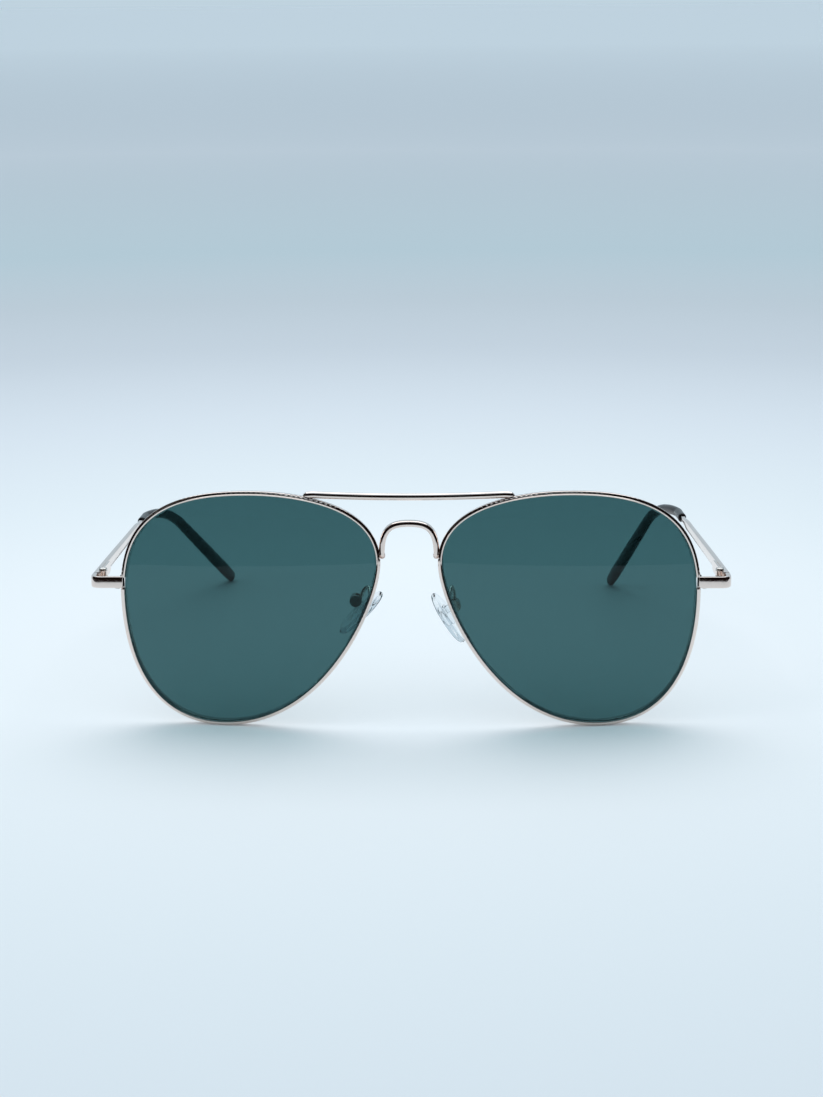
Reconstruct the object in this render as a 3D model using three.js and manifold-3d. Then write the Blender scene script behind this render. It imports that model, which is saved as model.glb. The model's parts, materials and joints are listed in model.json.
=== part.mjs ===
// Aviator sunglasses with a double bridge, standing open on a table.
// Millimetres. +X is to the right seen from the front, +Y runs back along the temples, +Z is up.
// The origin is at the middle of the footprint, on the table: the rims and the two tips touch Z = 0.
import * as THREE from "three";
import { mergeVertices } from "three/addons/utils/BufferGeometryUtils.js";
import Module from "manifold-3d";

const wasm = await Module();
wasm.setup();
const DEG = Math.PI / 180;
const upwards = new THREE.Vector3(0, 0, 1);
const backwards = new THREE.Vector3(0, 1, 0);

// ---------------------------------------------------------------- driving dimensions

// Front: both rims, measured in the front's own upright frame before it leans.
const OPENING_WIDTH = 57.2; // clear opening inside a rim
const OPENING_HEIGHT = 53.7;
const NOSE_GAP = 14.6; // between the two clear openings
const RIM_WALL = 0.95; // rim wire, in the plane of the lens
const RIM_FRONT = 0.95; // rim wire, from the lens groove to its front
const RIM_BACK = 1.55; // rim wire, from the lens groove to its back
const LENS_THICKNESS = 1.6;
const LENS_CURVE_RADIUS = 150;
const WRAP = 4 * DEG; // each lens turns back towards its temple
const FRONT_LEAN = 3 * DEG; // the top of the front leans forwards
const TEMPLE_POINT = 3.4; // how far above the lens centre the opening is widest
const SPLIT_HEIGHT = 5.68; // above the lens centre, the middle of the cut in the rim wire
const SPLIT_GAP = 2.8;

// Hinge and temple: measured in the hinge's own frame, whose origin is on the hinge axis.
const HINGE_X = 70.1;
const HINGE_Y = 8.6;
const HINGE_Z = 33.4;
const ARM_THICKNESS = 1.2;
const ARM_HEIGHT = 2.6;
const ARM_OUT = 1.75; // from the hinge axis out to the middle of the arm
const CORNER_FRONT = 4.1; // from the hinge axis forward to the middle of the end piece's front
const BUTT_GAP = 0.15; // each side of the joint between end piece and temple
const KNUCKLE_RADIUS = 1.05;
const KNUCKLE_BORE = 0.66;
const KNUCKLE_HEIGHT = 1.15;
const KNUCKLE_PITCH = 1.25;
const BEND_START = 72.5; // how far back from the hinge axis the arm begins to bend over the ear
const BEND_MIDDLE = 86;
const BEND_SHARE = 0.235; // of the way from the bend's middle to the tip's end, where it is straight again
const BEND_IN = 3; // how far the bend leans in behind the ear
const TIP_START = 65.5; // along the arm, where the moulded tip begins
const TIP_WIDTH = [2.1, 2.6]; // at the tip's front end, and near its rounded end
const TIP_HEIGHT = [2.3, 3.5];

// Nose pads: measured in the pad's own frame, whose origin is on the pad screw.
const PAD_Y = 9.0;
const PAD_LENGTH = 13.3;
const PAD_WIDTH = 6.8;
const PAD_THICKNESS = 1.9;
const PAD_SPLAY = 12 * DEG; // about its length, front edge inwards
const PAD_BACK = 2.95; // from the pad screw to the middle of the pad

// What an optician bends by hand, a little different on each side. A pad: where its screw is, how far
// it leans from upright with its lower end outwards, how far its middle lies below the screw, and where
// its wire meets the mount, outwards and up from the screw. A temple: how far it is turned in and drops
// towards the back, and how far the end of its tip lies inwards of the hinge axis and back from it.
const SIDES = {
  left: {
    pad: { x: 12.4, z: 28.4, lean: 47 * DEG, down: 1.2, wireEnd: [-1.25, 0.95] },
    temple: { toeIn: 1.1 * DEG, drop: 1.5 * DEG, tipIn: 13.0, tipBack: 131.5 },
  },
  right: {
    pad: { x: 10.1, z: 27.2, lean: 33 * DEG, down: 1.8, wireEnd: [-0.1, 1.55] },
    temple: { toeIn: 3.9 * DEG, drop: 0.7 * DEG, tipIn: 8.9, tipBack: 126 },
  },
};

const ROD_SIDES = 16;
const SEAT_GAP = 0.06; // under each screw head
const TIP_REST = 0.67; // height of the end of a tip's middle line when the tip rests on the table
const LENS_X = (NOSE_GAP + OPENING_WIDTH) / 2;
const LENS_Z = OPENING_HEIGHT / 2 + RIM_WALL;
const FRONT_DROP = 0.2; // lowers the leaning front until its rims touch the table
const FOOTPRINT_MIDDLE_Y = 68.6;

// ---------------------------------------------------------------- materials

function finish(color, roughness, metalness, extra = {}) {
  return new THREE.MeshStandardMaterial({ color, roughness, metalness, ...extra });
}

const roseGold = finish(0xd9bfae, 0.2, 1);
const screwMetal = finish(0xcfc4bb, 0.3, 1);
const lensTint = finish(0x2e5a58, 0.05, 0, { transparent: true, opacity: 0.75 });
const clearSilicone = finish(0xe6eef2, 0.25, 0, { transparent: true, opacity: 0.45 });
const tipAcetate = finish(0x17110f, 0.25, 0);

// ---------------------------------------------------------------- solids

// A closed three.js geometry as a manifold-3d solid.
function solid(geometry) {
  const bare = geometry.clone();
  for (const name of Object.keys(bare.attributes)) {
    if (name !== "position") bare.deleteAttribute(name);
  }
  const merged = mergeVertices(bare, 1e-4);
  return new wasm.Manifold(
    new wasm.Mesh({
      numProp: 3,
      vertProperties: merged.attributes.position.array,
      triVerts: new Uint32Array(merged.index.array),
    }),
  );
}

// A manifold-3d solid as a three.js geometry.
function geometryOf(made) {
  const mesh = made.getMesh();
  const geometry = new THREE.BufferGeometry();
  geometry.setAttribute("position", new THREE.BufferAttribute(mesh.vertProperties, 3));
  geometry.setIndex(new THREE.BufferAttribute(mesh.triVerts, 1));
  const flat = geometry.toNonIndexed();
  flat.computeVertexNormals();
  return flat;
}

// A box from its lowest to its highest corner.
function block(low, high) {
  const size = high.map((value, i) => value - low[i]);
  const middle = high.map((value, i) => (value + low[i]) / 2);
  return solid(new THREE.BoxGeometry(...size).translate(...middle));
}

// A round bar along Z, from one height to another.
function rodZ(radius, from, to, x = 0, y = 0) {
  const bar = new THREE.CylinderGeometry(radius, radius, to - from, ROD_SIDES);
  return solid(bar.rotateX(Math.PI / 2).translate(x, y, (from + to) / 2));
}

// A round bar along Y, from one depth to another.
function rodY(radius, from, to) {
  const bar = new THREE.CylinderGeometry(radius, radius, to - from, ROD_SIDES);
  return solid(bar.translate(0, (from + to) / 2, 0));
}

// Moves every vertex of a geometry to where place(x, y, z) says.
function reshape(geometry, place) {
  const position = geometry.attributes.position;
  for (let i = 0; i < position.count; i++) {
    const moved = place(position.getX(i), position.getY(i), position.getZ(i));
    position.setXYZ(i, moved.x, moved.y, moved.z);
  }
  geometry.computeVertexNormals();
  return geometry;
}

// A bar along a stretch of a curve. half(t) gives its half width and half height at t along the curve,
// and square runs from 1 for an oval section down to about 0.3 for a rounded rectangle.
function barAlong(curve, { from = 0, to = 1, steps, sides = 12, square = 1, up, half }) {
  const bar = new THREE.CylinderGeometry(1, 1, 1, sides, steps, false, Math.PI / sides);
  const corner = (value) => Math.sign(value) * Math.abs(value) ** square;
  return reshape(bar, (x, y, z) => {
    const t = from + (to - from) * (y + 0.5);
    const along = curve.getTangentAt(t);
    const side = new THREE.Vector3().crossVectors(along, up).normalize();
    const over = new THREE.Vector3().crossVectors(side, along);
    const [width, height] = half(t);
    const centre = curve.getPointAt(t);
    centre.addScaledVector(side, width * corner(x));
    return centre.addScaledVector(over, height * corner(z));
  });
}

// 1 along a bar, falling as a quarter circle over the last share of its length at each end.
function roundedEnds(t, share, least = 0.3) {
  const past = Math.max(0, Math.abs(2 * t - 1) - 1 + 2 * share) / (2 * share);
  return Math.max(least, Math.sqrt(Math.max(0, 1 - past * past)));
}

// A slotted cheese-head screw along Z, its head's underside at Z = 0 and its shank below.
function screw(headRadius, headHeight, shankRadius, shankLength) {
  const profile = [
    [0, -shankLength],
    [shankRadius * 0.7, -shankLength],
    [shankRadius, -shankLength + 0.25],
    [shankRadius, 0],
    [headRadius, 0],
    [headRadius, headHeight * 0.7],
    [headRadius * 0.8, headHeight],
    [0, headHeight],
  ].map(([r, y]) => new THREE.Vector2(r, y));
  const turned = solid(new THREE.LatheGeometry(profile, ROD_SIDES).rotateX(Math.PI / 2));
  const slotDepth = headHeight * 0.5;
  const slotHalf = headRadius * 0.16;
  const slot = block(
    [-2 * headRadius, -slotHalf, headHeight - slotDepth],
    [2 * headRadius, slotHalf, 2 * headHeight],
  );
  return geometryOf(turned.subtract(slot));
}

function part(name, geometry, material) {
  const mesh = new THREE.Mesh(geometry, material);
  mesh.name = name;
  return mesh;
}

// ---------------------------------------------------------------- lens outline and front surface

// The clear opening, anticlockwise from the temple side, as (outwards, up) from the lens centre:
// four extreme points joined by curves whose handles follow the outline's own directions.
function openingOutline() {
  const temple = new THREE.Vector2(OPENING_WIDTH / 2, TEMPLE_POINT);
  const brow = new THREE.Vector2(-1.1, OPENING_HEIGHT / 2);
  const nose = new THREE.Vector2(-OPENING_WIDTH / 2, 11.5);
  const cheek = new THREE.Vector2(7.4, -OPENING_HEIGHT / 2);
  const outline = new THREE.Path();
  outline.moveTo(temple.x, temple.y);
  outline.bezierCurveTo(temple.x, temple.y + 17.9, brow.x + 18.2, brow.y, brow.x, brow.y);
  outline.bezierCurveTo(brow.x - 9.1, brow.y, nose.x, nose.y + 13.1, nose.x, nose.y);
  outline.bezierCurveTo(nose.x, nose.y - 8.2, cheek.x - 24, cheek.y, cheek.x, cheek.y);
  outline.bezierCurveTo(cheek.x + 15.2, cheek.y, temple.x, temple.y - 16.6, temple.x, temple.y);
  return outline;
}

const opening = openingOutline();

// A stretch of the opening, moved outwards by offset, as a curve in the XZ plane.
class OpeningCurve extends THREE.Curve {
  constructor(offset, start, end) {
    super();
    this.offset = offset;
    this.start = start;
    this.end = end;
  }

  getPoint(t) {
    const share = (this.start + (this.end - this.start) * t) % 1;
    const point = opening.getPoint(share);
    const along = opening.getTangent(share);
    return new THREE.Vector3(
      point.x + along.y * this.offset,
      0,
      point.y - along.x * this.offset,
    );
  }
}

// Depth of the lenses' front surface at (outwards, up) from a lens centre.
function surfaceDepth(u, v) {
  return (u * u + v * v) / (2 * LENS_CURVE_RADIUS) + u * Math.tan(WRAP);
}

// Lays a flat piece, given as (outwards, depth, up) from the lens centre, on the front surface.
function layOnFront(geometry, depthShift = 0) {
  return reshape(geometry, (u, depth, v) => {
    const slopeOut = u / LENS_CURVE_RADIUS + Math.tan(WRAP);
    const slopeUp = v / LENS_CURVE_RADIUS;
    const normal = new THREE.Vector3(-slopeOut, 1, -slopeUp).normalize();
    const point = new THREE.Vector3(LENS_X + u, surfaceDepth(u, v), LENS_Z + v);
    return point.addScaledVector(normal, depth + depthShift);
  });
}

// ---------------------------------------------------------------- front pieces, right side

// A grooved wire bent round the lens, cut at the end piece.
function rim() {
  const wall = RIM_WALL / 2;
  const corner = 0.2;
  const [grooveHalf, grooveFloor] = [0.5, -0.12];
  const section = new THREE.Shape(
    [
      [-RIM_FRONT + corner, wall],
      [-RIM_FRONT, wall - corner],
      [-RIM_FRONT, corner - wall],
      [-RIM_FRONT + corner, -wall],
      [-grooveHalf, -wall],
      [0, grooveFloor],
      [grooveHalf, -wall],
      [RIM_BACK, -wall],
      [RIM_BACK, wall - corner],
      [RIM_BACK - corner, wall],
    ].map(([depth, out]) => new THREE.Vector2(depth, out)),
  );
  const length = opening.getLength();
  const split = (SPLIT_HEIGHT - TEMPLE_POINT) / length;
  const halfGap = SPLIT_GAP / 2 / length;
  const path = new OpeningCurve(wall, split + halfGap, 1 + split - halfGap);
  const wire = new THREE.ExtrudeGeometry(section, {
    steps: 72,
    extrudePath: path,
    bevelEnabled: false,
  });
  return layOnFront(wire, LENS_THICKNESS / 2);
}

// A curved lens with a bevelled edge that stands in the rim's groove.
function lens() {
  const face = 0.996; // share of the opening that the flat of the lens fills
  const bevel = 1.007;
  const profile = [
    [0, LENS_THICKNESS],
    [0.55, LENS_THICKNESS],
    [face, LENS_THICKNESS],
    [face, LENS_THICKNESS / 2 + 0.45],
    [bevel, LENS_THICKNESS / 2],
    [face, LENS_THICKNESS / 2 - 0.45],
    [face, 0],
    [0.55, 0],
    [0, 0],
  ].map(([r, y]) => new THREE.Vector2(r, y));
  const round = new THREE.LatheGeometry(profile, 64);
  const flat = reshape(round, (x, y, z) => {
    const turn = Math.atan2(x, z) / (2 * Math.PI);
    const edge = opening.getPoint((turn + 1) % 1);
    const reach = Math.hypot(x, z);
    return new THREE.Vector3(edge.x * reach, y, edge.y * reach);
  });
  return layOnFront(flat);
}

const [LOCK_X, LOCK_Y] = [66.45, 8.1]; // the axis of the screw that closes a rim
const LOCK_Z = 32.75; // where the two halves of the block meet
const LOCK_HEIGHT = 0.75; // of each half
const LOCK_PARTING = 0.08; // each side of the line where they meet

// Half of the block that closes the rim: a lug behind the end piece, bored for the screw, and a tongue
// from tongueLow to tongueHigh in the cut in the wire.
function rimLock(low, tongueLow, tongueHigh) {
  const [tongueX, lugX, outerX] = [64.8, 65.5, 67.4];
  const [front, tongueBack, lugBack] = [7.0, 8.2, 9.0];
  const high = low + LOCK_HEIGHT;
  const lug = block([lugX, front, low], [outerX, lugBack, high]);
  const tongue = block([tongueX, front, tongueLow], [lugX, tongueBack, tongueHigh]);
  const bore = rodZ(0.45, low - 1, high + 1, LOCK_X, LOCK_Y);
  return geometryOf(lug.add(tongue).subtract(bore));
}

// ---------------------------------------------------------------- bridge pieces

// A piece that is soldered to both rims, cut away where they pass through it.
function fittedToRims(geometry) {
  const right = solid(rim());
  return geometryOf(solid(geometry).subtract(right).subtract(right.mirror([1, 0, 0])));
}

// The nose arch, from the side of one rim over to the other.
function bridge() {
  const [half, shoulder, rise] = [6.15, 4.6, 6.2]; // half is out to the middle of a leg
  const [foot, crown, depth] = [40.4, 48.1, 2.95];
  const point = (x, z) => new THREE.Vector3(x, depth, z);
  const arch = new THREE.CurvePath();
  arch.add(
    new THREE.CubicBezierCurve3(
      point(-half, foot),
      point(-half, foot + rise),
      point(-shoulder, crown),
      point(0, crown),
    ),
  );
  arch.add(
    new THREE.CubicBezierCurve3(
      point(0, crown),
      point(shoulder, crown),
      point(half, foot + rise),
      point(half, foot),
    ),
  );
  const thickness = () => [0.66, 0.95];
  return fittedToRims(
    barAlong(arch, { steps: 20, sides: 8, square: 0.6, up: backwards, half: thickness }),
  );
}

// The brow bar that lies along the top of both rims, its ends bent down onto them.
function topBar() {
  const [reach, straight] = [23.5, 21.2]; // out to the ends, and to where they begin to bend down
  const [depth, radius] = [2.9, 0.78];
  const [middle, shoulder, end] = [53.65, 54.7, 54.4]; // heights
  const point = (x, z) => new THREE.Vector3(x, depth, z);
  const bar = new THREE.CurvePath();
  bar.add(
    new THREE.QuadraticBezierCurve3(
      point(-reach, end),
      point(-straight - 1.2, shoulder),
      point(-straight, shoulder),
    ),
  );
  bar.add(
    new THREE.QuadraticBezierCurve3(
      point(-straight, shoulder),
      point(0, middle),
      point(straight, shoulder),
    ),
  );
  bar.add(
    new THREE.QuadraticBezierCurve3(
      point(straight, shoulder),
      point(straight + 1.2, shoulder),
      point(reach, end),
    ),
  );
  const round = (t) => radius * roundedEnds(t, 0.016);
  const half = (t) => [round(t), round(t)];
  return fittedToRims(barAlong(bar, { steps: 40, sides: 10, up: upwards, half }));
}

// ---------------------------------------------------------------- hinge, temple and tip, right side

// The bar from the rim out to the corner and back to the temple.
function endPiece() {
  const corner = -0.2;
  const [inner, front] = [-5.1, -CORNER_FRONT];
  const path = new THREE.CurvePath();
  path.add(
    new THREE.LineCurve3(
      new THREE.Vector3(inner, front, 0),
      new THREE.Vector3(corner, front, 0),
    ),
  );
  path.add(
    new THREE.QuadraticBezierCurve3(
      new THREE.Vector3(corner, front, 0),
      new THREE.Vector3(ARM_OUT, front, 0),
      new THREE.Vector3(ARM_OUT, front + 2, 0),
    ),
  );
  path.add(
    new THREE.LineCurve3(
      new THREE.Vector3(ARM_OUT, front + 2, 0),
      new THREE.Vector3(ARM_OUT, -BUTT_GAP, 0),
    ),
  );
  return barAlong(path, {
    steps: 16,
    sides: 8,
    square: 0.4,
    up: upwards,
    half: () => [ARM_THICKNESS / 2, ARM_HEIGHT / 2],
  });
}

const LEAF_OUTER = 1.08; // the leaves' outer face, against the end piece and the arm

// One hinge knuckle, bored for the screw, with the web that joins it to its leaf on the reach side.
function knuckle(level, reach) {
  const low = level * KNUCKLE_PITCH - KNUCKLE_HEIGHT / 2;
  const high = low + KNUCKLE_HEIGHT;
  const [webFrom, webTo] = [Math.min(0, reach), Math.max(0, reach)];
  const web = block([0.25, webFrom, low], [LEAF_OUTER, webTo, high]);
  const ring = rodZ(KNUCKLE_RADIUS, low, high).add(web);
  return ring.subtract(rodZ(KNUCKLE_BORE, low - 1, high + 1));
}

// The two knuckles and the leaf on the inside of the end piece.
function frontHinge() {
  const leaf = block([0.45, -2.3, -1.5], [LEAF_OUTER, -1.25, 1.5]);
  return geometryOf(knuckle(-1, -2).add(knuckle(1, -2)).add(leaf));
}

// The middle knuckle and the long leaf on the inside of the temple, which ends in a lower step.
function templeHinge() {
  const [inner, start, step, end] = [0.5, 1.3, 11.7, 13];
  const leaf = block([inner, start, -1.38], [LEAF_OUTER, step, 1.38]);
  const stepped = block([inner, step, -1.0], [LEAF_OUTER, end, 1.0]);
  return geometryOf(knuckle(0, 2).add(leaf).add(stepped));
}

// The middle line of a temple: straight back, bent down and in over the ear, then straight to the end
// of its tip, which rests on the table.
function templeLine({ drop, tipIn, tipBack }) {
  const tipDown = (HINGE_Z - tipBack * Math.sin(drop)) / Math.cos(drop) - TIP_REST;
  const armPoint = (y) => new THREE.Vector3(ARM_OUT, y, 0);
  const bend = armPoint(BEND_MIDDLE);
  bend.x -= BEND_IN;
  const end = new THREE.Vector3(-tipIn, tipBack, -tipDown);
  const bendEnd = bend.clone().lerp(end, BEND_SHARE);
  const line = new THREE.CurvePath();
  line.add(new THREE.LineCurve3(armPoint(BUTT_GAP), armPoint(BEND_START)));
  line.add(new THREE.QuadraticBezierCurve3(armPoint(BEND_START), bend, bendEnd));
  line.add(new THREE.LineCurve3(bendEnd, end));
  return line;
}

const CORE_SHORT = 9; // the arm's metal tail ends this far before the tip does

// The arm: a flat strip that narrows a little towards the back, then a thin tail inside the tip.
function arm(line) {
  const length = line.getLength();
  const blend = THREE.MathUtils.smoothstep;
  return barAlong(line, {
    to: 1 - CORE_SHORT / length,
    steps: 32,
    sides: 8,
    square: 0.4,
    up: upwards,
    half: (t) => {
      const distance = t * length;
      const strip = blend(distance, 14, TIP_START - 10);
      const tail = blend(distance, TIP_START - 10, TIP_START - 2);
      return [
        ARM_THICKNESS / 2 - 0.06 * strip - 0.08 * tail,
        ARM_HEIGHT / 2 - 0.04 - 0.16 * strip - 0.4 * tail,
      ];
    },
  });
}

// The moulded sleeve over the arm's tail, bored nearly to its rounded end.
function tip(line) {
  const length = line.getLength();
  const capLength = 1.9;
  const start = TIP_START / length;
  const outer = barAlong(line, {
    from: start,
    steps: 28,
    sides: 10,
    up: upwards,
    half: (t) => {
      const swell = THREE.MathUtils.smoothstep(t, start, 0.95);
      const past = Math.max(0, 1 - (length * (1 - t)) / capLength);
      const cap = Math.max(0.35, Math.sqrt(1 - past * past));
      return [TIP_WIDTH, TIP_HEIGHT].map(([a, b]) => (THREE.MathUtils.lerp(a, b, swell) / 2) * cap);
    },
  });
  const bore = barAlong(line, {
    from: start - 1 / length,
    to: 1 - (CORE_SHORT - 0.6) / length,
    steps: 18,
    sides: 8,
    square: 0.5,
    up: upwards,
    half: () => [0.66, 0.86],
  });
  return geometryOf(solid(outer).subtract(solid(bore)));
}

// ---------------------------------------------------------------- nose pad, right side

const PAD_BOX_HALF = 1.2;

// The forked mount on the end of the pad arm. Its slot faces the nose.
function padBox() {
  const [radius, slotHalf, slotEnd] = [1.4, 0.65, 1.0];
  const slot = block([-2 * radius, -slotHalf, -2 * radius], [slotEnd, slotHalf, 2 * radius]);
  const body = rodY(radius, -PAD_BOX_HALF, PAD_BOX_HALF).subtract(slot);
  return geometryOf(body.subtract(rodY(0.42, -3, 3)));
}

// The stiff clear plate moulded into a pad, with the tab that stands in the mount's slot.
function padCore(grow = 0) {
  const plate = block(
    [-PAD_BACK - 0.2 - grow, -1.5 - grow, -3.6 - grow],
    [-PAD_BACK + 0.2 + grow, 1.5 + grow, 1.2 + grow],
  );
  const tab = block([-PAD_BACK, -0.5 - grow, -0.8 - grow], [0, 0.5 + grow, 0.8 + grow]);
  return plate.add(tab).add(rodY(0.8 + grow, -0.5 - grow, 0.5 + grow));
}

// The soft pad, an oval cushion that bears on the nose, moulded round its core.
function padBody({ down }) {
  const ball = new THREE.SphereGeometry(1, 16, 12);
  const full = (value, power) => Math.sign(value) * Math.abs(value) ** power;
  const cushion = reshape(ball, (x, y, z) => {
    const taper = 1 - 0.14 * y; // the upper end is a little narrower
    return new THREE.Vector3(
      (full(x, 0.75) * PAD_THICKNESS) / 2,
      ((full(-z, 0.85) * PAD_WIDTH) / 2) * taper,
      (y * PAD_LENGTH) / 2,
    );
  });
  cushion.rotateZ(-PAD_SPLAY).translate(-PAD_BACK, 0, -down);
  return solid(cushion).subtract(padCore(0.15));
}

// The bent wire from the back of the rim up, over and down to the pad mount, in the front's frame.
function padArm({ x, z, wireEnd }) {
  const [endX, endZ] = [x + wireEnd[0], z + wireEnd[1]];
  const wire = new THREE.CatmullRomCurve3(
    [
      [9.15, 3.25, 29.3],
      [9.05, 4.8, 30.2],
      [9.1, 6.4, 31.3],
      [9.5, 7.7, 31.9],
      [(9.9 + endX) / 2, 8.6, endZ + 1.6],
      [endX, 8.95, endZ],
    ].map((point) => new THREE.Vector3(...point)),
  );
  const half = () => [0.42, 0.42];
  return barAlong(wire, { steps: 16, sides: 8, up: new THREE.Vector3(1, 0, 0), half });
}

// ---------------------------------------------------------------- assembly

// All the pieces of one side, built on the right and mirrored for the left.
function sideOfGlasses(side) {
  const mirrored = new THREE.Group();
  mirrored.scale.x = side === "right" ? 1 : -1;
  const name = (piece) => `${side}_${piece}`;
  const set = SIDES[side];

  const front = new THREE.Group();
  front.rotation.x = FRONT_LEAN;
  front.position.z = -FRONT_DROP;
  front.add(part(name("rim"), rim(), roseGold));
  front.add(part(name("lens"), lens(), lensTint));
  const cut = SPLIT_GAP / 2 - LOCK_PARTING;
  const [cutLow, cutHigh] = [LENS_Z + SPLIT_HEIGHT - cut, LENS_Z + SPLIT_HEIGHT + cut];
  const upperLock = LOCK_Z + LOCK_PARTING;
  const lowerLock = LOCK_Z - LOCK_PARTING - LOCK_HEIGHT;
  const upper = rimLock(upperLock, upperLock, cutHigh);
  const lower = rimLock(lowerLock, cutLow, LOCK_Z - LOCK_PARTING);
  front.add(part(name("rim_lock_upper"), upper, roseGold));
  front.add(part(name("rim_lock_lower"), lower, roseGold));
  const lockScrew = part(name("rim_lock_screw"), screw(0.75, 0.45, 0.36, 1.6), screwMetal);
  lockScrew.position.set(LOCK_X, LOCK_Y, lowerLock - SEAT_GAP);
  lockScrew.rotation.x = Math.PI;
  front.add(lockScrew);
  front.add(part(name("pad_arm"), padArm(set.pad), roseGold));

  const pad = new THREE.Group();
  pad.position.set(set.pad.x, PAD_Y, set.pad.z);
  pad.rotation.y = -set.pad.lean;
  pad.add(part(name("pad_box"), padBox(), roseGold));
  const core = padCore().subtract(rodY(0.42, -3, 3));
  pad.add(part(name("pad_core"), geometryOf(core), clearSilicone));
  pad.add(part(name("nose_pad"), geometryOf(padBody(set.pad)), clearSilicone));
  const padScrew = part(name("pad_screw"), screw(0.62, 0.35, 0.32, 2.5), screwMetal);
  padScrew.position.y = PAD_BOX_HALF + SEAT_GAP;
  padScrew.rotation.x = -Math.PI / 2;
  pad.add(padScrew);
  front.add(pad);

  const hinge = new THREE.Group();
  hinge.position.set(HINGE_X, HINGE_Y, HINGE_Z);
  hinge.rotation.x = -set.temple.drop;
  hinge.add(part(name("end_piece"), endPiece(), roseGold));
  hinge.add(part(name("front_hinge"), frontHinge(), roseGold));
  const temple = new THREE.Group();
  temple.rotation.z = set.temple.toeIn;
  temple.add(part(name("temple_hinge"), templeHinge(), roseGold));
  const line = templeLine(set.temple);
  temple.add(part(name("temple"), arm(line), roseGold));
  temple.add(part(name("temple_tip"), tip(line), tipAcetate));
  hinge.add(temple);
  const stackTop = KNUCKLE_PITCH + KNUCKLE_HEIGHT / 2;
  const hingeScrew = part(name("hinge_screw"), screw(0.95, 0.5, 0.56, 3.5), screwMetal);
  hingeScrew.position.z = stackTop + SEAT_GAP;
  hinge.add(hingeScrew);

  mirrored.add(front, hinge);
  return mirrored;
}

const middle = new THREE.Group();
middle.rotation.x = FRONT_LEAN;
middle.position.z = -FRONT_DROP;
middle.add(part("bridge", bridge(), roseGold));
middle.add(part("top_bar", topBar(), roseGold));

const glasses = new THREE.Group();
glasses.add(sideOfGlasses("left"), sideOfGlasses("right"), middle);
glasses.position.y = -FOOTPRINT_MIDDLE_Y;

const model = new THREE.Group();
model.add(glasses);
export default model;
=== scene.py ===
"""Aviator sunglasses with a double bridge: the visible pieces, the studio and the camera.

Shapes are worked out in millimetres in the same frames as the CAD part, and go into Blender in
metres. Every piece stands for one CAD node and rides on that node's body.
"""

import json
import math

import bmesh
import bpy
import numpy as np
from mathutils import Matrix, Vector


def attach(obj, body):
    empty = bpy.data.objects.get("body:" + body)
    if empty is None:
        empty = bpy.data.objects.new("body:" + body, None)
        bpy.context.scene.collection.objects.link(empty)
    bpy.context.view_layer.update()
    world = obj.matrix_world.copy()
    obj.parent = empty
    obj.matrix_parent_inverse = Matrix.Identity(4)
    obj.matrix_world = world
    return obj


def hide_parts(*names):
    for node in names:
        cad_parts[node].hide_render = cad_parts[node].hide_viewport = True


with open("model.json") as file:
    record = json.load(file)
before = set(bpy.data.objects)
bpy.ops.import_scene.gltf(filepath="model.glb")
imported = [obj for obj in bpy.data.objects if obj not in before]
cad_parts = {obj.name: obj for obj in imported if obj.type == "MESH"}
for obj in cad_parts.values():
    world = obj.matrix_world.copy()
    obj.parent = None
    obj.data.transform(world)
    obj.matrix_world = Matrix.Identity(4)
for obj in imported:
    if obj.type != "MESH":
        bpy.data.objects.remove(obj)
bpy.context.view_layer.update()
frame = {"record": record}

MM = 0.001

# ---------------------------------------------------------------- dimensions, as in the CAD part, in mm

OPENING_WIDTH = 57.2
OPENING_HEIGHT = 53.7
NOSE_GAP = 14.6
RIM_WALL = 0.95
RIM_FRONT = 0.95  # from the lens groove to the front of the wire
RIM_BACK = 1.55  # from the lens groove to its back
LENS_THICKNESS = 1.6
LENS_CURVE_RADIUS = 150.0
WRAP = math.radians(4)
FRONT_LEAN = math.radians(3)
SPLIT_HEIGHT = 5.68  # of the middle of a rim's cut, above the lens centre
SPLIT_GAP = 2.8
TEMPLE_POINT_HEIGHT = 3.4  # of the outline's outermost point, above the lens centre

HINGE = Vector((70.1, 8.6, 33.4))  # the middle of the right hinge screw
ARM_THICKNESS = 1.2
ARM_HEIGHT = 2.6
ARM_OUT = 1.75  # from the hinge axis to the middle of the temple
CORNER_FRONT = 4.1  # from the hinge axis forward to the middle of the end piece
BUTT_GAP = 0.15  # each side of the line where an end piece and its temple meet
KNUCKLE_RADIUS = 1.05
KNUCKLE_BORE = 0.66
KNUCKLE_HEIGHT = 1.15
KNUCKLE_PITCH = 1.25
BEND_START = 72.5  # behind the hinge axis
BEND_MIDDLE = 86.0
BEND_SHARE = 0.235  # of the stretch after the bend's middle that still curves
BEND_IN = 3.0
TIP_START = 65.5
TIP_WIDTH = (2.1, 2.6)  # at the front of the sleeve and near its end
TIP_HEIGHT = (2.3, 3.5)
TIP_REST = 0.67  # from the table up to the middle of the tip's end
CORE_SHORT = 9.0  # how far the metal stops before the end of the sleeve

PAD_Y = 9.0  # of the pad screws, behind the front
PAD_LENGTH = 13.3
PAD_WIDTH = 6.8
PAD_THICKNESS = 1.9
PAD_SPLAY = math.radians(12)
PAD_BACK = 2.95  # from the pad screw to the middle of the pad

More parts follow.
